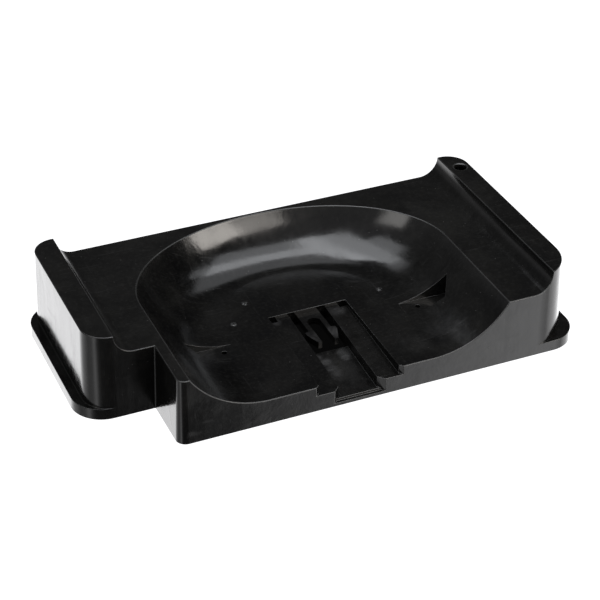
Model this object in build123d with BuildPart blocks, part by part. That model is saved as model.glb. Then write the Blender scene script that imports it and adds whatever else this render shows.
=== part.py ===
from build123d import *
import os
from math import asin, degrees, sqrt

# A dished moulded tray: one thin-walled black shell with two snap prongs at the back of its
# slide-in channel. +X runs to the right, +Y to the back and +Z up. The origin is under the
# middle of the footprint, on the plane that the tray stands on. Millimetres.

# Shell
LENGTH = 400.0  # over the two end ledges
DEPTH = 204.0  # front wall to back wall, at the base
RIB_TOP = 71.5  # top of the raised rib along each end
DECK = 55.5  # flat deck between the ribs
SKIN = 3.0  # moulded wall thickness
DRAFT = 1.9  # lean of the outer walls, degrees
CLEAR = 12.0  # how far a cutting shape runs past what it cuts

# Plan outline: the front left corner is set back, which leaves a block on its right
BLOCK_X = -141.5  # left side of the block
SETBACK_Y = -51.0  # face of the set-back wall
BLOCK_ROUND = 8.0
FRONT_LEFT_ROUND = 22.0
FRONT_RIGHT_ROUND = 36.0
BACK_ROUND = 20.0

# Ledge along the foot of each end wall
LEDGE_OUT = 7.2
LEDGE_TOP = 9.0
LEDGE_ROUND = 26.0

# Cove from each rib down to the deck
COVE_X = 154.5  # foot of the cove, from the middle
COVE_ROUND = RIB_TOP - DECK

# Dish: straight sides from the front to DISH_Y, then half an ellipse
DISH_HALF = 131.0
DISH_Y = 5.5
DISH_BACK = 92.0  # from DISH_Y to the back of the rim
DISH_FLOOR = 21.0
FLAT_HALF = 68.0  # half width of the flat floor
SIDE_RUN = DISH_HALF - FLAT_HALF
SIDE_RISE = DECK - DISH_FLOOR
SIDE_ROUND = (SIDE_RUN**2 + SIDE_RISE**2) / (2 * SIDE_RISE)

# Stepped channel in the dish floor, open at the front
CHANNEL_X = 5.0  # its middle
SHELF_HALF = 33.5
SHELF_BACK_Y = -1.0
SHELF_BACK_Z = 18.5
SHELF_FRONT_Z = 13.5
SLOT_HALF = 16.0
SLOT_BACK_Y = -44.0
SLOT_BACK_Z = 8.0
SLOT_FRONT_Z = 4.2
SILL_Z = 2.5  # top of the front wall across the slot
SHELF_FLARE = 3.5  # chamfer of the shelf's corners at the front wall
SLOT_FLARE = 5.5
PORT_WIDE = 6.5  # openings at the back corners of the shelf
PORT_DEEP = 4.5

# Snap fork
PRONG_X = 7.5  # from the channel's middle to a prong's middle line
PRONG_WIDE = 4.0
PRONG_TALL = 5.7
PRONG_TOP = 17.4
ROOT_Y = -13.0  # where the prongs leave their root
CATCH_Y = -26.0  # where the barb's catch leaves the prong
CATCH_LEAN = 1.0  # the catch's outer end is this much nearer the front
BARB_HALF = 13.0  # from the channel's middle to a barb's crest
BARB_Y = -30.5
TIP_HALF = 8.5
TIP_Y = -43.0
GAP_HALF = PRONG_X - PRONG_WIDE / 2  # half the gap between the prongs
GAP_END_Y = -10.0  # back of its round end
FLEX_GAP = 0.15  # clearance round a prong's root

# Screw pads in the sides of the dish, and the hole in the right rib
PAD_NEAR = 70.0
PAD_FAR_BACK = 112.5
PAD_FAR_FRONT = 102.0
PAD_BACK_Y = -23.5
PAD_FRONT_Y = -42.0
SCREW_X = 83.0
SCREW_Y = -32.0
SCREW_R = 2.25
RIB_HOLE = (181.2, 77.5)
RIB_HOLE_R = 5.2
RIB_HOLE_CHAMFER = 0.8

# Stiffening webs under the shell
WEB = 2.0
WEB_FOOT = 1.0  # they stop this far above the standing plane
WEBS_ALONG_Y = (-112.0, -56.0, 62.0, 116.0)
WEBS_ALONG_X = (52.0,)

STANDING = (Align.CENTER, Align.CENTER, Align.MIN)
FRONT = -DEPTH / 2
BACK = DEPTH / 2
WALL_HALF = LENGTH / 2 - LEDGE_OUT


def plan_outline(half_length, front_right, back, front_left):
    """The footprint, for the walls or for the ledges, with the radii of its outer corners."""
    rounds = [
        ((BLOCK_X, FRONT), BLOCK_ROUND),
        ((half_length, FRONT), front_right),
        ((half_length, BACK), back),
        ((-half_length, BACK), back),
        ((-half_length, SETBACK_Y), front_left),
    ]
    with BuildSketch() as plan:
        with BuildLine():
            Polyline(*[corner for corner, _ in rounds], (BLOCK_X, SETBACK_Y), close=True)
        make_face()
        for corner, radius in rounds:
            fillet(plan.vertices().sort_by_distance((*corner, 0))[:1], radius)
    return plan.sketch


def above_deck(down=0.0):
    """The space between the ribs, over the deck and its coves, grown downwards by a skin."""
    radius = COVE_ROUND + down
    with BuildPart() as space:
        with BuildSketch(Plane.XZ):
            with BuildLine():
                CenterArc((-COVE_X, RIB_TOP), radius, 180, 90)
                Line((-COVE_X, DECK - down), (COVE_X, DECK - down))
                CenterArc((COVE_X, RIB_TOP), radius, 270, 90)
                Polyline(
                    (COVE_X + radius, RIB_TOP),
                    (COVE_X + radius, RIB_TOP + CLEAR),
                    (-COVE_X - radius, RIB_TOP + CLEAR),
                    (-COVE_X - radius, RIB_TOP),
                )
            make_face()
        extrude(amount=DEPTH, both=True)
    return space.part


def dish_half_width(out=0.0):
    """Half the dish's width at the deck, grown outwards by a skin."""
    radius = SIDE_ROUND + out
    return FLAT_HALF + sqrt(radius**2 - (radius - SIDE_RISE - out) ** 2)


def dish_section(out=0.0):
    """Right half of the dish's section: flat floor, then a round side that steepens to the rim."""
    radius = SIDE_ROUND + out
    half = dish_half_width(out)
    floor = DISH_FLOOR - out
    with BuildSketch(Plane.XZ) as section:
        with BuildLine():
            Line((0, floor), (FLAT_HALF, floor))
            swing = degrees(asin((half - FLAT_HALF) / radius))
            CenterArc((FLAT_HALF, floor + radius), radius, 270, swing)
            Polyline((half, DECK), (half, RIB_TOP + CLEAR), (0, RIB_TOP + CLEAR), (0, floor))
        make_face()
    return section.sketch


def dish_space(out=0.0):
    """The dish's hollow, grown outwards by a skin: a trough in front, half a bowl behind."""
    section = dish_section(out)
    with BuildPart() as trough:
        extrude(section, amount=DISH_Y - FRONT + CLEAR)
        mirror(about=Plane.YZ)
    with BuildPart() as bowl:
        revolve(section, axis=Axis.Z, revolution_arc=180)
    half = dish_half_width(out)
    squeeze = (DISH_BACK + half - DISH_HALF) / half
    return Pos(0, DISH_Y, 0) * (trough.part + scale(bowl.part, by=(1, squeeze, 1)))


def channel_step(half, flare, back_y, back_z, front_z, out=0.0):
    """One step of the channel: straight sides that flare at the mouth, and a sloping floor."""
    mouth_y = FRONT - CLEAR
    slope = (back_z - front_z) / (back_y - FRONT)
    with BuildPart() as step:
        with BuildSketch(Plane.YZ.offset(CHANNEL_X)):
            with BuildLine():
                Polyline(
                    (back_y + out, back_z - out),
                    (mouth_y, front_z - out - slope * CLEAR),
                    (mouth_y, DISH_FLOOR + CLEAR),
                    (back_y + out, DISH_FLOOR + CLEAR),
                    close=True,
                )
            make_face()
        extrude(amount=half + flare + CLEAR + out, both=True)
        with BuildSketch():
            with BuildLine():
                Polyline(
                    (CHANNEL_X, back_y + out),
                    (CHANNEL_X + half + out, back_y + out),
                    (CHANNEL_X + half + out, FRONT + flare),
                    (CHANNEL_X + half + out + flare + CLEAR, FRONT - CLEAR),
                    (CHANNEL_X, FRONT - CLEAR),
                    close=True,
                )
            make_face()
            mirror(about=Plane.YZ.offset(CHANNEL_X))
        extrude(amount=RIB_TOP, mode=Mode.INTERSECT)
    return step.part


def fork_outline(side):
    """Plan of one prong. side is 1 for the right prong and -1 for the left one."""
    near = PRONG_X - PRONG_WIDE / 2
    far = PRONG_X + PRONG_WIDE / 2
    with BuildSketch(Plane.XY.offset(PRONG_TOP)) as plan:
        with BuildLine():
            Polyline(
                (CHANNEL_X + side * near, ROOT_Y),
                (CHANNEL_X + side * near, TIP_Y),
                (CHANNEL_X + side * TIP_HALF, TIP_Y),
                (CHANNEL_X + side * BARB_HALF, BARB_Y),
                (CHANNEL_X + side * BARB_HALF, CATCH_Y - CATCH_LEAN),
                (CHANNEL_X + side * far, CATCH_Y),
                (CHANNEL_X + side * far, ROOT_Y),
                close=True,
            )
        make_face()
        with Locations((CHANNEL_X + side * PRONG_X, ROOT_Y)):
            Circle(PRONG_WIDE / 2)
    return plan.sketch


def prong(side):
    """One snap prong with a round root and an outward barb."""
    with BuildPart() as arm:
        extrude(fork_outline(side), amount=-PRONG_TALL)
    return arm.part


def pad_space(side, out=0.0):
    """Pocket over one screw pad, in the side of the dish. side is 1 for the right one."""
    plan = [
        (PAD_NEAR - out, PAD_FRONT_Y - out),
        (PAD_FAR_FRONT + out, PAD_FRONT_Y - out),
        (PAD_FAR_BACK + out, PAD_BACK_Y + out),
        (PAD_NEAR - out, PAD_BACK_Y + out),
    ]
    with BuildPart() as space:
        with BuildSketch(Plane.XY.offset(DISH_FLOOR - out)):
            with BuildLine():
                Polyline(*[(CHANNEL_X + side * x, y) for x, y in plan], close=True)
            make_face()
        extrude(amount=RIB_TOP)
    return space.part


def top_spaces(out=0.0):
    """Every hollow in the top of the shell, grown outwards by a skin."""
    return [
        above_deck(out),
        dish_space(out),
        channel_step(SHELF_HALF, SHELF_FLARE, SHELF_BACK_Y, SHELF_BACK_Z, SHELF_FRONT_Z, out),
        pad_space(1, out),
        pad_space(-1, out),
    ]


wall_plan = plan_outline(WALL_HALF, FRONT_RIGHT_ROUND, BACK_ROUND, FRONT_LEFT_ROUND)
ledge_plan = plan_outline(LENGTH / 2, LEDGE_ROUND, LEDGE_ROUND, LEDGE_ROUND)
spaces_above = top_spaces() + [
    channel_step(SLOT_HALF, SLOT_FLARE, SLOT_BACK_Y, SLOT_BACK_Z, SLOT_FRONT_Z)
]
spaces_under = top_spaces(SKIN) + [
    channel_step(SLOT_HALF, SLOT_FLARE, SHELF_BACK_Y, SLOT_BACK_Z, SLOT_FRONT_Z, SKIN)
]

# The underside is hollow: it follows the top surface one skin below it, between thin webs
with BuildPart() as underside:
    extrude(offset(wall_plan, -SKIN), amount=RIB_TOP - SKIN, taper=DRAFT)
    extrude(offset(ledge_plan, -SKIN), amount=LEDGE_TOP - SKIN, taper=DRAFT)
    for space in spaces_under:
        add(space, mode=Mode.SUBTRACT)
    with Locations(*[(x, 0, WEB_FOOT) for x in WEBS_ALONG_Y]):
        Box(WEB, DEPTH, RIB_TOP, align=STANDING, mode=Mode.SUBTRACT)
    with Locations(*[(0, y, WEB_FOOT) for y in WEBS_ALONG_X]):
        Box(LENGTH, WEB, RIB_TOP, align=STANDING, mode=Mode.SUBTRACT)

with BuildPart() as tray_shell:
    extrude(wall_plan, amount=RIB_TOP, taper=DRAFT)
    extrude(ledge_plan, amount=LEDGE_TOP, taper=DRAFT)
    for space in spaces_above:
        add(space, mode=Mode.SUBTRACT)
    add(underside.part, mode=Mode.SUBTRACT)

    # Window round the fork, open right through to the underside
    with BuildSketch():
        with Locations((CHANNEL_X, (SHELF_BACK_Y + SLOT_BACK_Y) / 2)):
            Rectangle(2 * SLOT_HALF, SHELF_BACK_Y - SLOT_BACK_Y)
    extrude(amount=DISH_FLOOR, mode=Mode.SUBTRACT)

    # Ports through the back corners of the shelf
    with BuildSketch(Plane.XY.offset(DISH_FLOOR)):
        for side in (-1, 1):
            with Locations((CHANNEL_X + side * (SHELF_HALF - PORT_WIDE / 2), SHELF_BACK_Y - PORT_DEEP / 2)):
                Rectangle(PORT_WIDE, PORT_DEEP)
    extrude(amount=-2 * (DISH_FLOOR - SHELF_BACK_Z) - SKIN, mode=Mode.SUBTRACT)

    # The front wall is a little lower than the slot's floor
    with BuildSketch(Plane.XY.offset(SILL_Z)):
        with BuildLine():
            Polyline(
                (CHANNEL_X, FRONT + SKIN),
                (CHANNEL_X + SLOT_HALF + SLOT_FLARE - SKIN, FRONT + SKIN),
                (CHANNEL_X + SLOT_HALF + SLOT_FLARE, FRONT),
                (CHANNEL_X, FRONT),
                close=True,
            )
        make_face()
        mirror(about=Plane.YZ.offset(CHANNEL_X))
    extrude(amount=SLOT_FRONT_Z, mode=Mode.SUBTRACT)

    # Root of the fork, with a round-ended gap between the prongs and a round seat for each
    with BuildSketch(Plane.XY.offset(PRONG_TOP)):
        with Locations((CHANNEL_X, (SHELF_BACK_Y + ROOT_Y) / 2)):
            Rectangle(2 * PRONG_X + PRONG_WIDE, SHELF_BACK_Y - ROOT_Y)
        with Locations((CHANNEL_X, GAP_END_Y - GAP_HALF)):
            Circle(GAP_HALF, mode=Mode.SUBTRACT)
        with Locations((CHANNEL_X - PRONG_X, ROOT_Y), (CHANNEL_X + PRONG_X, ROOT_Y)):
            Circle(PRONG_WIDE / 2 + FLEX_GAP, mode=Mode.SUBTRACT)
    extrude(amount=-PRONG_TALL)

    # Screw holes and the hole in the right rib
    with Locations(*[(CHANNEL_X + side * SCREW_X, SCREW_Y, DISH_FLOOR) for side in (-1, 1)]):
        Hole(SCREW_R, depth=2 * SKIN)
    with Locations((*RIB_HOLE, RIB_TOP)):
        CounterSinkHole(RIB_HOLE_R, RIB_HOLE_R + RIB_HOLE_CHAMFER, depth=2 * SKIN, counter_sink_angle=90)
tray_shell.part.label = "tray_shell"

latch_prong_left = prong(-1)
latch_prong_left.label = "latch_prong_left"
latch_prong_right = prong(1)
latch_prong_right.label = "latch_prong_right"

os.makedirs("parts", exist_ok=True)
for piece in (tray_shell.part, latch_prong_left, latch_prong_right):
    export_step(piece, f"parts/{piece.label}.step")
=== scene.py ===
import math

import bmesh
import bpy
from mathutils import Matrix, Quaternion, Vector
from mathutils.bvhtree import BVHTree


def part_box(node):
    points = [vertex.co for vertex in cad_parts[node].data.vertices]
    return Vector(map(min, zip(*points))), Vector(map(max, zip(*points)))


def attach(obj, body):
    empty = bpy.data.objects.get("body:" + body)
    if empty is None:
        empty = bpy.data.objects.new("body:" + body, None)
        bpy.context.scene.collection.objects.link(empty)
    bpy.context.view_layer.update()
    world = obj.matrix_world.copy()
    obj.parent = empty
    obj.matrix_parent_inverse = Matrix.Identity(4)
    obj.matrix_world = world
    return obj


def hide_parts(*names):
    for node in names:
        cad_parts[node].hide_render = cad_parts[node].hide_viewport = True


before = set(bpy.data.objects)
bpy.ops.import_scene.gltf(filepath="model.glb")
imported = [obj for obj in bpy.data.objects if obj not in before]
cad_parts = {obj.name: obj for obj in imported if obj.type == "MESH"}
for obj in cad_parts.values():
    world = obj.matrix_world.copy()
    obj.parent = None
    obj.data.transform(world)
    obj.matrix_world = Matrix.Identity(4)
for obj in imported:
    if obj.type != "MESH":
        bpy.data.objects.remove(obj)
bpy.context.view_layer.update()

# The shell is drawn in millimetres and scaled once, at the end, to the frame's metres.
MM = 0.001
shell_low, shell_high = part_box("tray_shell")
END = shell_high.x / MM
FRONT = shell_low.y / MM
BACK = shell_high.y / MM
RIB_TOP = shell_high.z / MM

SKIN = 3.0
LEAN = math.tan(math.radians(1.9))  # how far the walls lean inwards for each unit of height
CLEAR = 12.0  # how far the cutting shapes reach past what they cut
PAST = 1.0  # the same, for the small round ones
TUCK = 0.05  # keeps faces that would otherwise lie in one plane just apart
MERGE = 1e-5  # points nearer than this are one point

# Plan. The three rounds are those of the front right, back and front left corners.
BLOCK_X = -141.5
SETBACK_Y = -51.0
BLOCK_ROUND = 8.0
LEDGE_OUT = 7.2
LEDGE_TOP = 9.0
WALL_END = END - LEDGE_OUT
WALL_ROUNDS = (36.0, 20.0, 22.0)
LEDGE_ROUNDS = (26.0, 26.0, 26.0)
CORNER_STEPS = 16

# Deck and dish
DECK = 55.5
COVE_X = 154.5
COVE_STEPS = 14
DISH_HALF = 131.0
DISH_Y = 5.5
DISH_BACK = 92.0
DISH_FLOOR = 21.0
FLAT_HALF = 68.0
SIDE_RISE = DECK - DISH_FLOOR
SIDE_RUN = DISH_HALF - FLAT_HALF
SIDE_ROUND = (SIDE_RUN**2 + SIDE_RISE**2) / (2 * SIDE_RISE)
SIDE_STEPS = 28
BOWL_STEPS = 96

# Channel
CHANNEL_X = 5.0
SHELF_HALF = 33.5
SHELF_FLARE = 3.5
SHELF_BACK_Y = -1.0
SHELF_BACK_Z = 18.5
SHELF_FRONT_Z = 13.5
SLOT_HALF = 16.0
SLOT_FLARE = 5.5
SLOT_BACK_Y = -44.0
SLOT_BACK_Z = 8.0
SLOT_FRONT_Z = 4.2
SILL_Z = 2.5  # top of the front wall across the slot
STEP_RUN = 0.02  # how far the face between the slot's floor and the sill leans
PORT_WIDE = 6.5
PORT_DEEP = 4.5

# Root of the snap fork
PRONG_X = 7.5
PRONG_HALF = 2.0
PRONG_TALL = 5.7
PRONG_TOP = 17.4
ROOT_Y = -13.0
GAP_HALF = 5.5
GAP_END_Y = -10.0
SEAT_GAP = 0.06  # clearance round a prong's root
SEAT_STEPS = 16

# Pads and holes
PAD_NEAR = 70.0
PAD_FAR_BACK = 112.5
PAD_FAR_FRONT = 102.0
PAD_BACK_Y = -23.5
PAD_FRONT_Y = -42.0
SCREW_X = 83.0
SCREW_Y = -32.0
SCREW_R = 2.25
RIB_HOLE_X = 181.2
RIB_HOLE_Y = 77.5
RIB_HOLE_R = 5.2
RIB_HOLE_CHAMFER = 0.8
SCREW_STEPS = 20
HOLE_STEPS = 40

# Webs under the shell
WEB = 2.0
WEB_FOOT = 1.0
WEBS_ALONG_Y = (-112.0, -56.0, 62.0, 116.0)
WEB_ALONG_X = 52.0


# ---------------------------------------------------------------- mesh helpers

def mesh_object(name, points, faces):
    """A mesh object, with its doubled points merged and its faces turned outwards."""
    mesh = bpy.data.meshes.new(name)
    mesh.from_pydata([tuple(p) for p in points], [], faces)
    work = bmesh.new()
    work.from_mesh(mesh)
    bmesh.ops.remove_doubles(work, verts=work.verts, dist=MERGE)
    bmesh.ops.recalc_face_normals(work, faces=work.faces)
    work.to_mesh(mesh)
    work.free()
    piece = bpy.data.objects.new(name, mesh)
    bpy.context.scene.collection.objects.link(piece)
    return piece


def loft(name, rings):
    """A closed solid through rings of equally many points."""
    count = len(rings[0])
    points = [point for ring in rings for point in ring]
    last = (len(rings) - 1) * count
    faces = [tuple(reversed(range(count))), tuple(range(last, last + count))]
    for low in range(0, last, count):
        for i in range(count):
            j = (i + 1) % count
            faces.append((low + i, low + j, low + count + j, low + count + i))
    return mesh_object(name, points, faces)


def box(name, low, high):
    """A box from its lowest to its highest corner."""
    (x0, y0, z0), (x1, y1, z1) = low, high
    plan = [(x0, y0), (x1, y0), (x1, y1), (x0, y1)]
    return loft(name, [[(x, y, z) for x, y in plan] for z in (z0, z1)])


def pillar(name, x, y, levels, steps=HOLE_STEPS):
    """A round solid from (height, radius) levels."""
    turns = [2 * math.pi * i / steps for i in range(steps)]
    return loft(
        name, [[(x + r * math.cos(a), y + r * math.sin(a), z) for a in turns] for z, r in levels]
    )


def apply_modifiers(piece):
    graph = bpy.context.evaluated_depsgraph_get()
    result = bpy.data.meshes.new_from_object(piece.evaluated_get(graph))
    piece.modifiers.clear()
    piece.data = result


def combine(piece, others, operation):
    """Joins the others to the piece, or cuts them from it, and removes them."""
    for other in others:
        step = piece.modifiers.new(other.name, "BOOLEAN")
        step.operation = operation
        step.solver = "EXACT"
        step.object = other
    apply_modifiers(piece)
    for other in others:
        bpy.data.objects.remove(other)
    return piece


def rounded(corners):
    """Points of a closed plan whose corners are (x, y, radius)."""
    points = []
    for i, (x, y, radius) in enumerate(corners):
        corner = Vector((x, y))
        if radius == 0:
            points.append(corner)
            continue
        before = (Vector(corners[i - 1][:2]) - corner).normalized()
        after = (Vector(corners[(i + 1) % len(corners)][:2]) - corner).normalized()
        centre = corner + (before + after) * radius
        for k in range(CORNER_STEPS + 1):
            turn = math.pi / 2 * k / CORNER_STEPS
            points.append(centre - after * radius * math.cos(turn) - before * radius * math.sin(turn))
    return points


# ---------------------------------------------------------------- the shell's solids

def footprint(end, rounds, inset, z):
    """The plan outline at height z: the front left corner is set back beside the block."""
    front_right, back, front_left = rounds
    left, right = BLOCK_X + inset, end - inset
    front, setback = FRONT + inset, SETBACK_Y + inset
    plan = rounded(
        [
            (left, front, BLOCK_ROUND - inset),
            (right, front, front_right - inset),
            (right, BACK - inset, back - inset),
            (-right, BACK - inset, back - inset),
            (-right, setback, front_left - inset),
            (left, setback, 0),
        ]
    )
    return [(x, y, z) for x, y in plan]


def leaning_walls(name, end, rounds, inset, low, high):
    """A block with that outline, whose walls lean inwards as they rise."""
    return loft(name, [footprint(end, rounds, inset + LEAN * z, z) for z in (low, high)])


def over_deck(out):
    """The space between the ribs, over the deck and its coves, grown by out."""
    radius = RIB_TOP - DECK + out
    curve = [math.pi / 2 * k / COVE_STEPS for k in range(COVE_STEPS + 1)]
    right = [(COVE_X + radius * math.sin(a), RIB_TOP - radius * math.cos(a)) for a in curve]
    right.append((COVE_X + radius, RIB_TOP + CLEAR))
    section = right + [(-x, z) for x, z in reversed(right)]
    return loft("over_deck", [[(x, y, z) for x, z in section] for y in (FRONT - CLEAR, BACK + CLEAR)])


def dish(out):
    """The dish's hollow, grown by out: a trough in front and half a bowl behind."""
    radius = SIDE_ROUND + out
    floor = DISH_FLOOR - out
    swing = math.acos(1 - (SIDE_RISE + out) / radius)
    half = FLAT_HALF + radius * math.sin(swing)
    squeeze = (DISH_BACK + half - DISH_HALF) / half
    turns = [swing * k / SIDE_STEPS for k in range(SIDE_STEPS + 1)]
    side = [(0.0, floor)]
    side += [(FLAT_HALF + radius * math.sin(a), floor + radius * (1 - math.cos(a))) for a in turns]
    side.append((half, RIB_TOP + CLEAR))
    stations = [[(r, FRONT - CLEAR, z) for r, z in side]]
    for k in range(BOWL_STEPS + 1):
        turn = math.pi * k / BOWL_STEPS
        across, along = math.cos(turn), squeeze * math.sin(turn)
        stations.append([(r * across, DISH_Y + r * along, z) for r, z in side])
    stations.append([(-r, FRONT - CLEAR, z) for r, z in side])

    # Between two stations of the bowl the first face is a triangle, because they share a middle
    count = len(side)
    points = [point for station in stations for point in station]
    last = (len(stations) - 1) * count
    faces = []
    for low in range(0, last, count):
        for k in range(count - 1):
            corners = (low + k, low + k + 1, low + count + k + 1, low + count + k)
            if k == 0 and 0 < low < last - count:
                corners = (low, low + 1, low + count + 1)
            faces.append(corners)
    faces.append(tuple(range(1, count)) + tuple(range(last + count - 1, last, -1)) + (0,))
    faces.append(tuple(range(count - 1, last + count, count)))
    return mesh_object("dish", points, faces)


def channel_step(stations):
    """One step of the channel, through (y, half width, floor height) stations."""
    top = DISH_FLOOR + CLEAR
    rings = []
    for y, wide, z in stations:
        left, right = CHANNEL_X - wide, CHANNEL_X + wide
        rings.append([(right, y, z), (right, y, top), (left, y, top), (left, y, z)])
    return loft("channel", rings)


def shelf(out):
    """The wide upper step of the channel."""
    slope = (SHELF_BACK_Z - SHELF_FRONT_Z) / (SHELF_BACK_Y - FRONT)
    half = SHELF_HALF + out
    bend = FRONT + SHELF_FLARE
    beyond = FRONT - CLEAR
    return channel_step(
        [
            (SHELF_BACK_Y + out, half, SHELF_BACK_Z - out + slope * out),
            (bend, half, SHELF_FRONT_Z - out + slope * SHELF_FLARE),
            (beyond, half + SHELF_FLARE + CLEAR, SHELF_FRONT_Z - out - slope * CLEAR),
        ]
    )


def slot(back_y, out, sill):
    """The narrow lower step. With a sill, its floor drops to SILL_Z across the front wall."""
    slope = (SLOT_BACK_Z - SLOT_FRONT_Z) / (SLOT_BACK_Y - FRONT)
    half = SLOT_HALF + out

    def station(y):
        flare = max(0.0, FRONT + SLOT_FLARE - y)
        return (y, half + flare, SLOT_FRONT_Z - out + slope * (y - FRONT))

    stations = [station(back_y + out), station(FRONT + SLOT_FLARE)]
    if sill:
        stations.append(station(FRONT + SKIN))
        for y in (FRONT + SKIN - STEP_RUN, FRONT - CLEAR):
            stations.append((*station(y)[:2], SILL_Z))
    else:
        stations.append(station(FRONT - CLEAR))
    return channel_step(stations)


def pad_space(side, out):
    """Pocket over one screw pad, in the side of the dish."""
    plan = [
        (PAD_NEAR - out, PAD_FRONT_Y - out),
        (PAD_FAR_FRONT + out, PAD_FRONT_Y - out),
        (PAD_FAR_BACK + out, PAD_BACK_Y + out),
        (PAD_NEAR - out, PAD_BACK_Y + out),
    ]
    heights = (DISH_FLOOR - out, RIB_TOP + CLEAR)
    return loft("pad_space", [[(CHANNEL_X + side * x, y, z) for x, y in plan] for z in heights])


def top_spaces(out):
    """Every hollow in the top of the shell, grown by out."""
    return [over_deck(out), dish(out), shelf(out), pad_space(1, out), pad_space(-1, out)]


def hollow_underside():
    """The space under the shell, which follows the top one skin below it, between webs."""
    space = leaning_walls("hollow", WALL_END, WALL_ROUNDS, SKIN, -CLEAR, RIB_TOP - SKIN)
    foot = leaning_walls("foot", END + TUCK, LEDGE_ROUNDS, SKIN + TUCK, -CLEAR, LEDGE_TOP - SKIN)
    combine(space, [foot], "UNION")
    webs = [
        box("web", (x - WEB / 2, FRONT - CLEAR, WEB_FOOT), (x + WEB / 2, BACK + CLEAR, RIB_TOP))
        for x in WEBS_ALONG_Y
    ]
    webs.append(
        box("web", (-END, WEB_ALONG_X - WEB / 2, WEB_FOOT), (END, WEB_ALONG_X + WEB / 2, RIB_TOP))
    )
    return combine(space, top_spaces(SKIN) + [slot(SHELF_BACK_Y, SKIN, False)] + webs, "DIFFERENCE")


def fork_root():
    """The block that the two prongs grow from."""
    low, high = PRONG_TOP - PRONG_TALL, PRONG_TOP
    wide = PRONG_X + PRONG_HALF
    root = box("root", (CHANNEL_X - wide, ROOT_Y, low), (CHANNEL_X + wide, SHELF_BACK_Y + SKIN / 2, high))
    levels = [(low - PAST, GAP_HALF), (high + PAST, GAP_HALF)]
    cuts = [pillar("gap", CHANNEL_X, GAP_END_Y - GAP_HALF, levels)]
    for side in (-1, 1):
        seat = PRONG_HALF + SEAT_GAP
        levels = [(low - PAST, seat), (high + PAST, seat)]
        cuts.append(pillar("seat", CHANNEL_X + side * PRONG_X, ROOT_Y, levels, SEAT_STEPS))
    return combine(root, cuts, "DIFFERENCE")


def shell_mesh():
    """The whole shell as one closed mesh, and a copy of it from before it was hollowed."""
    shell = leaning_walls("tray", WALL_END, WALL_ROUNDS, 0.0, 0.0, RIB_TOP)
    ledge = leaning_walls("ledge", END + TUCK, LEDGE_ROUNDS, TUCK, 0.0, LEDGE_TOP)
    combine(shell, [ledge], "UNION")
    combine(shell, top_spaces(0.0) + [slot(SLOT_BACK_Y, 0.0, True)], "DIFFERENCE")
    solid = shell.data.copy()

    cuts = [hollow_underside()]
    low, high = (CHANNEL_X - SLOT_HALF, SLOT_BACK_Y), (CHANNEL_X + SLOT_HALF, SHELF_BACK_Y)
    cuts.append(box("window", (*low, -CLEAR), (*high, DISH_FLOOR)))
    for side in (-1, 1):
        middle = CHANNEL_X + side * (SHELF_HALF - PORT_WIDE / 2)
        cuts.append(
            box(
                "port",
                (middle - PORT_WIDE / 2, SHELF_BACK_Y - PORT_DEEP, DISH_FLOOR - 3 * SKIN),
                (middle + PORT_WIDE / 2, SHELF_BACK_Y, DISH_FLOOR),
            )
        )
        levels = [(DISH_FLOOR - 2 * SKIN, SCREW_R), (DISH_FLOOR + SKIN, SCREW_R)]
        cuts.append(pillar("screw_hole", CHANNEL_X + side * SCREW_X, SCREW_Y, levels, SCREW_STEPS))
    edge, wide = RIB_TOP - RIB_HOLE_CHAMFER, RIB_HOLE_R + RIB_HOLE_CHAMFER + PAST
    levels = [(RIB_TOP - 2 * SKIN, RIB_HOLE_R), (edge, RIB_HOLE_R), (RIB_TOP + PAST, wide)]
    cuts.append(pillar("rib_hole", RIB_HOLE_X, RIB_HOLE_Y, levels))
    combine(shell, cuts, "DIFFERENCE")
    combine(shell, [fork_root()], "UNION")
    return shell, solid


# ---------------------------------------------------------------- softened edges

EDGE_ANGLE = math.radians(22)
EDGE_ROUND = 0.7
EDGE_SEGMENTS = 3
SHORT = 0.32  # edges shorter than this are closed up before the rounding
WELD = 0.01
FLAT_ANGLE = math.radians(0.03)  # faces that meet at less than this are made one
NEAR_TOP = 0.05  # edges this near the unhollowed shape are on the top or the outside
FOOT_Z = 1.0  # nothing below this is rounded
AROUND = 1.0  # margin round a feature, for telling which edges belong to it
FRONT_EDGES = 4.0  # edges this near the front count as the front's
SHARP_ANGLE = math.radians(38)


def edge_share(middle):
    """How much of EDGE_ROUND an edge gets, by where it is."""
    x, y, z = middle
    across = abs(x - CHANNEL_X)
    beside_pad = PAD_NEAR - AROUND < across < PAD_FAR_BACK + AROUND
    if beside_pad and PAD_FRONT_Y - AROUND < y < PAD_BACK_Y + AROUND and z > DISH_FLOOR - AROUND:
        return 0.35
    if across < SHELF_HALF + SHELF_FLARE + AROUND and y < 0.5 and z < DISH_FLOOR + AROUND:
        return 0.5
    if z < LEDGE_TOP + AROUND:
        return 0.6
    return 1.0


def wear_and_highlight(middle):
    """How much an edge is lightened, partly as wear and partly as a painted highlight along the rim: most
    along the front, least inside the channel, and not at all where the ledge meets the wall."""
    x, y, z = middle
    if abs(x) < WALL_END + 0.5 and LEDGE_TOP - 0.5 < z < LEDGE_TOP + AROUND:
        return 0.0
    if y < FRONT + FRONT_EDGES:
        return 1.0
    beside_channel = abs(x - CHANNEL_X) < SHELF_HALF + SHELF_FLARE
    if beside_channel and y < SHELF_BACK_Y - AROUND and z < DISH_FLOOR + AROUND:
        return 0.1
    return 0.35


def close_short_edges(work):
    """Welds the ends of very short edges, onto the end where the sharper corner is."""
    moves = {}
    for edge in work.edges:
        if edge.calc_length() < SHORT and edge.verts[0].co.z > FOOT_Z:
            kept, gone = sorted(
                edge.verts, key=lambda v: -sum(e.calc_face_angle(0.0) for e in v.link_edges)
            )
            if kept not in moves and gone not in moves and gone not in moves.values():
                moves[gone] = kept
    bmesh.ops.weld_verts(work, targetmap=moves)


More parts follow.
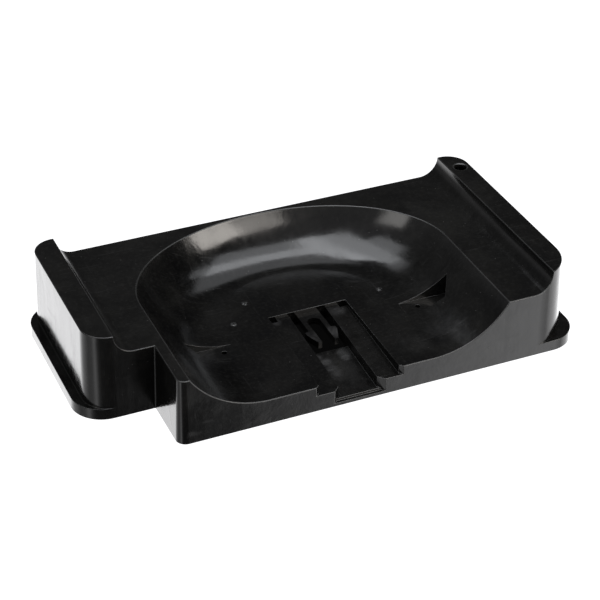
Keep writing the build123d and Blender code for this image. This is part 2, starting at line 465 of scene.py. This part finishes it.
def soften(shell, solid):
    """Rounds the edges of the top and the outside, and leaves the underside's crisp."""
    work = bmesh.new()
    work.from_mesh(solid)
    top = BVHTree.FromBMesh(work)
    work.free()
    work = bmesh.new()
    work.from_mesh(shell.data)
    bmesh.ops.remove_doubles(work, verts=work.verts, dist=WELD)
    close_short_edges(work)
    bmesh.ops.dissolve_limit(
        work, angle_limit=FLAT_ANGLE, verts=work.verts, edges=work.edges, delimit={"SHARP"}
    )
    weight = work.edges.layers.float.new("bevel_weight_edge")
    for edge in work.edges:
        if len(edge.link_faces) != 2 or edge.calc_face_angle() < EDGE_ANGLE:
            continue
        middle = (edge.verts[0].co + edge.verts[1].co) / 2
        if top.find_nearest(middle)[3] < NEAR_TOP and middle.z > FOOT_Z:
            edge[weight] = edge_share(middle)
    work.to_mesh(shell.data)
    work.free()
    bevel = shell.modifiers.new("edges", "BEVEL")
    bevel.width = EDGE_ROUND
    bevel.segments = EDGE_SEGMENTS
    bevel.limit_method = "WEIGHT"
    bevel.use_clamp_overlap = False
    bevel.material = 1  # marks the new faces until their wear and painted highlight is set
    shell.data.materials.clear()
    for _ in range(2):
        shell.data.materials.append(None)
    apply_modifiers(shell)
    # The rounded edges get a lighter colour, partly wear and partly a painted highlight along the rims
    worn_and_highlit = shell.data.attributes.new("worn_and_highlit", "FLOAT", "FACE")
    for face, share in zip(shell.data.polygons, worn_and_highlit.data):
        share.value = face.material_index * wear_and_highlight(face.center)
        face.material_index = 0
    finish_normals(shell)


def finish_normals(piece):
    """Shades the mesh smooth across its round stretches and flat on its flat ones."""
    mesh = piece.data
    mesh.shade_smooth()
    mesh.set_sharp_from_angle(angle=SHARP_ANGLE)
    piece.modifiers.new("normals", "WEIGHTED_NORMAL").keep_sharp = True


# ---------------------------------------------------------------- plastic

DARK = (0.0008, 0.0008, 0.0009, 1)
LIGHT = (0.0019, 0.0018, 0.0016, 1)
FILM = (0.0140, 0.0137, 0.0128, 1)
WORN_AND_HIGHLIT = (0.042, 0.042, 0.042, 1)
SCRATCHED = (0.05, 0.05, 0.05, 1)
HAZE_AND_SHEEN_COLOUR = (0.055, 0.055, 0.056, 1)
CHIPPED = (0.11, 0.11, 0.11, 1)
DUSTY = (0.12, 0.12, 0.115, 1)
GLOSS = (0.12, 0.17)  # least and greatest roughness of the clean plastic
HANDLED = (0.045, 0.056)  # heights, in metres, between which handling starts to show
PRONG_EDGE = 0.35

# Lighter cloudy patches on the dish and channel floors, partly haze and partly painted sheen: x, y, z and
# reach in millimetres, and strength
HAZE_AND_SHEEN_SPOTS = (
    (92, -72, 24, 26, 0.22),
    (63, -76, 21, 22, 0.12),
    (-95, -34, 22, 24, 0.25),
    (15, -50, 7, 8, 0.80),
    (14, -55, 7, 7, 0.80),
    (-6, -49, 7, 6, 0.60),
    (-4, -56, 7, 8, 0.70),
    (-2, -64, 7, 8, 0.60),
    (0, -71, 6, 8, 0.45),
    (5, -70, 6, 26, 0.12),
    (-4, -36, 17, 12, 0.80),
    (14, -34, 17, 12, 0.60),
    (28, -9, 18, 9, 0.60),
    (-24, -6, 18, 6, 0.60),
)

# Stubs left by the mould: x, y and z in millimetres
GATE_MARKS = ((-38, 25, 21), (-57, 1, 21), (70, 2, 21.4))
GATE_REACH = 3.2


class Nodes:
    """Short names for the shader nodes that the materials use."""

    def __init__(self, material, shader="Principled BSDF"):
        material.use_nodes = True
        self.tree = material.node_tree
        self.shader = self.tree.nodes[shader]
        self.place = self.new("TexCoord").outputs["Object"]

    def new(self, kind):
        return self.tree.nodes.new("ShaderNode" + kind)

    def link(self, source, target):
        if isinstance(source, (int, float, tuple)):
            target.default_value = source
        else:
            self.tree.links.new(source, target)

    def xyz(self, vector):
        node = self.new("SeparateXYZ")
        self.link(vector, node.inputs["Vector"])
        return node.outputs["X"], node.outputs["Y"], node.outputs["Z"]

    def stretched(self, scale, turn=(0.0, 0.0, 0.0)):
        node = self.new("Mapping")
        self.link(self.place, node.inputs["Vector"])
        node.inputs["Scale"].default_value = scale
        node.inputs["Rotation"].default_value = turn
        return node.outputs["Vector"]

    def noise(self, scale, detail=3.0, rough=0.55, place=None, warp=0.0):
        node = self.new("TexNoise")
        self.link(place or self.place, node.inputs["Vector"])
        node.inputs["Scale"].default_value = scale
        node.inputs["Detail"].default_value = detail
        node.inputs["Roughness"].default_value = rough
        node.inputs["Distortion"].default_value = warp
        return node.outputs["Fac"]

    def specks(self, scale):
        node = self.new("TexVoronoi")
        self.link(self.place, node.inputs["Vector"])
        node.inputs["Scale"].default_value = scale
        return node.outputs["Distance"], node.outputs["Color"]

    def remap(self, value, low, high, out_low=0.0, out_high=1.0):
        node = self.new("MapRange")
        node.interpolation_type = "SMOOTHSTEP"
        self.link(value, node.inputs["Value"])
        limits = {"From Min": low, "From Max": high, "To Min": out_low, "To Max": out_high}
        for name, setting in limits.items():
            node.inputs[name].default_value = setting
        return node.outputs["Result"]

    def math(self, operation, a, b=0.0):
        node = self.new("Math")
        node.operation = operation
        self.link(a, node.inputs[0])
        self.link(b, node.inputs[1])
        return node.outputs[0]

    def near(self, x, y, z, reach):
        """1 at a point given in millimetres, fading to 0 at a distance of reach from it."""
        node = self.new("VectorMath")
        node.operation = "DISTANCE"
        self.link(self.place, node.inputs[0])
        node.inputs[1].default_value = (x * MM, y * MM, z * MM)
        return self.remap(node.outputs["Value"], 0.15 * reach * MM, reach * MM, 1.0, 0.0)

    def blend(self, share, low, high):
        node = self.new("Mix")
        node.data_type = "RGBA"
        self.link(share, node.inputs["Factor"])
        self.link(low, node.inputs["A"])
        self.link(high, node.inputs["B"])
        return node.outputs["Result"]

    def bump(self, height, depth, normal=None):
        node = self.new("Bump")
        node.inputs["Strength"].default_value = 1.0
        node.inputs["Distance"].default_value = depth * MM
        self.link(height, node.inputs["Height"])
        if normal:
            self.link(normal, node.inputs["Normal"])
        return node.outputs["Normal"]


def black_plastic():
    """Glossy moulded plastic: faint flow mottling and scratches, dust, edges lightened partly by wear and
    partly by painted highlight, cloudy patches partly of haze and partly of painted sheen, and marks.
    """
    material = bpy.data.materials.new("moulded_black_plastic")
    n = Nodes(material)
    mottle = n.remap(n.noise(34, 5, 0.6, warp=0.4), 0.35, 0.7)
    film = n.remap(n.noise(13, 6, 0.7, warp=0.6), 0.40, 0.75)
    streaks = n.remap(n.noise(1.0, 4, 0.6, n.stretched((150, 150, 9))), 0.42, 0.68)
    grain = n.noise(1400, 2, 0.5)
    scratch_one = n.remap(n.noise(1.0, 2, 0.5, n.stretched((22, 900, 60), (0, 0, 0.5))), 0.67, 0.73)
    scratch_two = n.remap(n.noise(1.0, 2, 0.5, n.stretched((1100, 26, 60), (0, 0, 0.35))), 0.69, 0.75)
    scratches = n.math("MAXIMUM", scratch_one, scratch_two)
    distance, tint = n.specks(330)
    split = n.new("SeparateColor")
    n.link(tint, split.inputs["Color"])
    rare = n.remap(split.outputs["Red"], 0.84, 1.0)
    dust = n.math("MULTIPLY", n.remap(distance, 0.04, 0.12, 1.0, 0.0), rare)

    # Lighter cloudy patches, partly haze and partly painted sheen, only on faces that point up
    haze_and_sheen = 0.0
    for x, y, z, reach, share in HAZE_AND_SHEEN_SPOTS:
        haze_and_sheen = n.math("MAXIMUM", haze_and_sheen, n.math("MULTIPLY", n.near(x, y, z, reach), share))
    haze_and_sheen = n.math("MULTIPLY", haze_and_sheen, n.remap(n.noise(46, 6, 0.7, warp=0.5), 0.30, 0.75))
    level = n.xyz(n.new("NewGeometry").outputs["True Normal"])[2]
    haze_and_sheen = n.math("MULTIPLY", haze_and_sheen, n.remap(level, 0.6, 0.9))

    # Rounded edges are lightened, partly as wear and partly as a painted highlight along the rims
    edge = n.new("Attribute")
    edge.attribute_name = "worn_and_highlit"
    worn_and_highlit = n.math("MULTIPLY", edge.outputs["Fac"], n.remap(n.noise(60, 4, 0.7), 0.30, 0.60, 0.7, 1.0))
    handled = n.remap(n.xyz(n.place)[2], *HANDLED)
    gate = 0.0
    for x, y, z in GATE_MARKS:
        gate = n.math("MAXIMUM", gate, n.near(x, y, z, GATE_REACH))
    chips = n.math("MULTIPLY", gate, n.remap(n.noise(520, 3, 0.6), 0.45, 0.60))

    colour = n.blend(mottle, DARK, LIGHT)
    flecks = n.remap(n.noise(330, 4, 0.75), 0.46, 0.76)
    film = n.math("ADD", n.math("MULTIPLY", film, 0.35), n.math("MULTIPLY", flecks, 0.35))
    dull = n.math("ADD", film, n.math("MULTIPLY", handled, 0.12))
    colour = n.blend(dull, colour, FILM)
    # Painted sheen, mixed with haze, lightens the colour in the cloudy patches
    colour = n.blend(haze_and_sheen, colour, HAZE_AND_SHEEN_COLOUR)
    colour = n.blend(n.math("MULTIPLY", scratches, 0.12), colour, SCRATCHED)
    colour = n.blend(worn_and_highlit, colour, WORN_AND_HIGHLIT)
    colour = n.blend(n.math("MULTIPLY", chips, 0.7), colour, CHIPPED)
    colour = n.blend(n.math("MULTIPLY", dust, 0.6), colour, DUSTY)
    n.link(colour, n.shader.inputs["Base Color"])

    rough = n.remap(mottle, 0.0, 1.0, *GLOSS)
    rougher = (
        (streaks, 0.04),
        (film, 0.05),
        (haze_and_sheen, 0.16),
        (dust, 0.3),
        (scratches, 0.06),
        (worn_and_highlit, 0.28),
        (chips, 0.3),
    )
    for share, more in rougher:
        rough = n.math("ADD", rough, n.math("MULTIPLY", share, more))
    n.link(rough, n.shader.inputs["Roughness"])
    n.shader.inputs["IOR"].default_value = 1.5

    normal = n.bump(mottle, 0.05)
    normal = n.bump(grain, 0.002, normal)
    normal = n.bump(n.math("SUBTRACT", dust, scratches), 0.008, normal)
    normal = n.bump(gate, 0.5, normal)
    normal = n.bump(chips, 0.12, normal)
    n.link(normal, n.shader.inputs["Normal"])
    return material


# ---------------------------------------------------------------- the object

shell, solid = shell_mesh()
soften(shell, solid)
shell.data.transform(Matrix.Scale(MM, 4))
shell.name = "tray"
plastic = black_plastic()
shell.data.materials.clear()
shell.data.materials.append(plastic)
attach(shell, "tray")
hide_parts("tray_shell")

for name in ("latch_prong_left", "latch_prong_right"):
    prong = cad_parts[name]
    prong.data.materials.clear()
    prong.data.materials.append(plastic)
    bevel = prong.modifiers.new("edges", "BEVEL")
    bevel.width = PRONG_EDGE * MM
    bevel.segments = EDGE_SEGMENTS
    bevel.limit_method = "ANGLE"
    bevel.angle_limit = EDGE_ANGLE
    bevel.harden_normals = True


# ---------------------------------------------------------------- studio

# Lengths in metres, angles in radians
MIDDLE = Vector((0.0055, 0.0139, 0.020))
CAMERA_TURN = -0.4192
CAMERA_RISE = 0.587
CAMERA_ROLL = 0.0117
CAMERA_AWAY = 1.434
LENS = 107.1
SENSOR = 36
PANEL_Z = 1.2
SOFTBOX_AWAY = 1.3
COOL = (0.94, 0.965, 1.0)
WARM = (1.0, 0.95, 0.89)
SOFT_WHITE = (1.0, 0.98, 0.95)
TABLE_WHITE = (0.99, 0.99, 1.0, 1)
ROOM_WHITE = (1.0, 1.0, 1.02, 1)
TABLE_HALF = 3.0
TABLE_Z = -0.0002  # just under the tray's foot
TABLE_SEEN = 1.2  # the table's brightness to the camera
UNDER = 10.0  # the table's painted shadow starts this far inside the tray's outline, in millimetres
UNDER_SHADOW_DEPTH = 0.998
GLOW = 3.2  # the table's brightness in reflections


def add(name, data, place):
    thing = bpy.data.objects.new(name, data)
    bpy.context.scene.collection.objects.link(thing)
    thing.location = place
    return thing


def add_camera():
    level = math.cos(CAMERA_RISE)
    back = Vector((math.sin(CAMERA_TURN) * level, -math.cos(CAMERA_TURN) * level, math.sin(CAMERA_RISE)))
    camera = add("camera", bpy.data.cameras.new("camera"), MIDDLE + back * CAMERA_AWAY)
    camera.data.lens = LENS
    camera.data.sensor_width = SENSOR
    camera.rotation_mode = "QUATERNION"
    camera.rotation_quaternion = (-back).to_track_quat("-Z", "Y") @ Quaternion((0, 0, 1), CAMERA_ROLL)
    bpy.context.scene.camera = camera


def area_light(name, place, wide, tall, radiance, colour):
    """A rectangular light that shines straight down."""
    light = bpy.data.lights.new(name, "AREA")
    light.shape = "RECTANGLE"
    light.size, light.size_y = wide, tall
    light.energy = radiance * math.pi * wide * tall
    light.color = colour
    return add(name, light, place)


def panel(name, low, high, radiance):
    """A level light over the tray, between two corners of its plan."""
    place = (low[0] + high[0]) / 2, (low[1] + high[1]) / 2, PANEL_Z
    area_light(name, place, high[0] - low[0], high[1] - low[1], radiance, COOL)


def softbox(name, towards, wide, tall, radiance, colour):
    """A light that faces the tray's middle."""
    direction = Vector(towards).normalized()
    lamp = area_light(name, MIDDLE + direction * SOFTBOX_AWAY, wide, tall, radiance, colour)
    lamp.rotation_mode = "QUATERNION"
    lamp.rotation_quaternion = (-direction).to_track_quat("-Z", "Y")


# The table glows, and its glow in reflections is painted by bearing. What the tray's walls see in it
# depends on the way they look: degrees clockwise from the back, and share of GLOW.
GLOW_BY_BEARING = (
    (-180, 0.02),
    (-138, 0.03),
    (-126, 0.09),
    (-113, 0.45),
    (-100, 0.19),
    (-80, 0.13),
    (-50, 0.30),
    (-28, 0.74),
    (0, 0.90),
    (60, 0.95),
    (88, 0.60),
    (108, 0.50),
    (120, 0.30),
    (134, 0.50),
    (148, 0.76),
    (153, 0.46),
    (157, 0.20),
    (160, 0.03),
    (180, 0.02),
)


def add_floor():
    """A white table that glows: plain white to the camera, a painted reflection to other rays, and a
    painted shadow where the tray stands on it.
    """
    mesh = bpy.data.meshes.new("floor")
    corners = [(x * TABLE_HALF, y * TABLE_HALF, 0) for x, y in ((-1, -1), (1, -1), (1, 1), (-1, 1))]
    mesh.from_pydata(corners, [], [(0, 1, 2, 3)])
    floor = add("floor", mesh, (0, 0, TABLE_Z))
    material = bpy.data.materials.new("white_table")
    n = Nodes(material)

    # Painted reflection: the glow that rays other than the camera's see is set by their bearing and
    # steepness
    look_x, look_y, look_z = n.xyz(n.new("NewGeometry").outputs["Incoming"])
    away_x = n.math("MULTIPLY", look_x, -1.0)
    away_y = n.math("MULTIPLY", look_y, -1.0)
    turn = n.math("DIVIDE", n.math("ARCTAN2", away_x, away_y), 2 * math.pi)
    ramp = n.new("ValToRGB")
    n.link(n.math("ADD", turn, 0.5), ramp.inputs["Fac"])
    stops = ramp.color_ramp.elements
    while len(stops) > 1:
        stops.remove(stops[-1])
    for i, (bearing, share) in enumerate(GLOW_BY_BEARING):
        stop = stops[0] if i == 0 else stops.new(bearing / 360 + 0.5)
        stop.position = bearing / 360 + 0.5
        stop.color = (share, share, share, 1)
    steep = n.remap(look_z, 0.05, 0.40)
    glow = n.math("MULTIPLY", n.math("MULTIPLY", ramp.outputs["Color"], GLOW), steep)
    far = n.math("MULTIPLY", n.remap(away_x, -0.4, 0.4, 0.2, 0.6), n.math("SUBTRACT", 1.0, steep))
    glow = n.math("ADD", glow, far)
    seen = n.new("LightPath").outputs["Is Camera Ray"]
    painted_reflection_glow = n.math("MULTIPLY", n.math("SUBTRACT", 1.0, seen), glow)
    strength = n.math("ADD", n.math("MULTIPLY", seen, TABLE_SEEN), painted_reflection_glow)

    # Painted shadow: the table goes dark inside the tray's outline, except in the notch beside the block
    x, y, _ = n.xyz(n.place)
    inside_x = n.math("LESS_THAN", n.math("ABSOLUTE", x), (END - UNDER) * MM)
    inside_y = n.math("LESS_THAN", n.math("ABSOLUTE", y), (BACK - UNDER) * MM)
    beside_block = n.math("LESS_THAN", x, (BLOCK_X + UNDER) * MM)
    in_notch = n.math("MULTIPLY", beside_block, n.math("LESS_THAN", y, (SETBACK_Y + UNDER) * MM))
    painted_shadow = n.math("MULTIPLY", n.math("MULTIPLY", inside_x, inside_y), n.math("SUBTRACT", 1.0, in_notch))
    lit = n.math("SUBTRACT", 1.0, n.math("MULTIPLY", painted_shadow, UNDER_SHADOW_DEPTH))

    lamp = n.new("Emission")
    n.link(TABLE_WHITE, lamp.inputs["Color"])
    n.link(n.math("MULTIPLY", strength, lit), lamp.inputs["Strength"])
    n.link(lamp.outputs["Emission"], n.tree.nodes["Material Output"].inputs["Surface"])
    floor.data.materials.append(material)


def add_world():
    """A dim room: brighter on the camera's side, and low down behind the tray."""
    world = bpy.data.worlds.new("studio")
    bpy.context.scene.world = world
    n = Nodes(world, "Background")
    x, y, z = n.xyz(n.new("TexCoord").outputs["Generated"])
    slant = n.math("ADD", y, n.math("MULTIPLY", x, 0.5))
    room = n.math("MULTIPLY", n.remap(slant, -0.8, 0.7, 0.28, 0.065), n.remap(x, 0.3, 0.6, 1.0, 0.3))
    low = n.math("MULTIPLY", n.remap(z, 0.0, 0.40, 0.15, 0.0), n.remap(y, 0.0, 0.5))
    low = n.math("MULTIPLY", low, n.remap(x, 0.40, 0.52, 1.0, 0.2))
    n.link(n.math("ADD", room, low), n.shader.inputs["Strength"])
    n.link(ROOM_WHITE, n.shader.inputs["Color"])


def add_lights():
    """A tee of panels overhead, with dimmer ones round it, and three softboxes at the sides.

    Panels must not overlap, because a reflection sees only the nearest of them.
    """
    panel("lamp_arm", (-0.36, -0.58), (-0.08, 0.74), 3.7)
    panel("lamp_arm_edge", (-0.08, -0.59), (-0.04, 0.64), 4.5)
    panel("lamp_middle_edge", (-0.04, -0.60), (0.0, 0.56), 5.4)
    panel("lamp_middle", (0.0, -0.60), (0.15, 0.52), 5.9)
    panel("lamp_body", (0.15, -0.19), (0.95, 0.12), 4.9)
    panel("lamp_spill_front", (0.15, -0.58), (1.0, -0.19), 2.2)
    panel("lamp_spill_right", (0.19, 0.13), (1.05, 0.68), 1.1)
    panel("lamp_spill_end", (0.95, -0.19), (1.30, 0.12), 1.6)
    panel("lamp_spill_back", (-0.36, 0.74), (0.0, 1.02), 1.2)
    panel("lamp_spill_left", (-0.66, -0.15), (-0.36, 0.54), 2.2)
    softbox("window", (0.64, -0.65, 0.41), 0.52, 0.50, 8.8, WARM)
    softbox("window_far", (0.32, -0.83, 0.46), 0.46, 0.45, 4.3, WARM)
    softbox("side", (-0.76, -0.27, 0.59), 0.50, 0.44, 3.0, SOFT_WHITE)


add_camera()
add_floor()
add_lights()
add_world()
bpy.context.scene.view_settings.view_transform = "Standard"
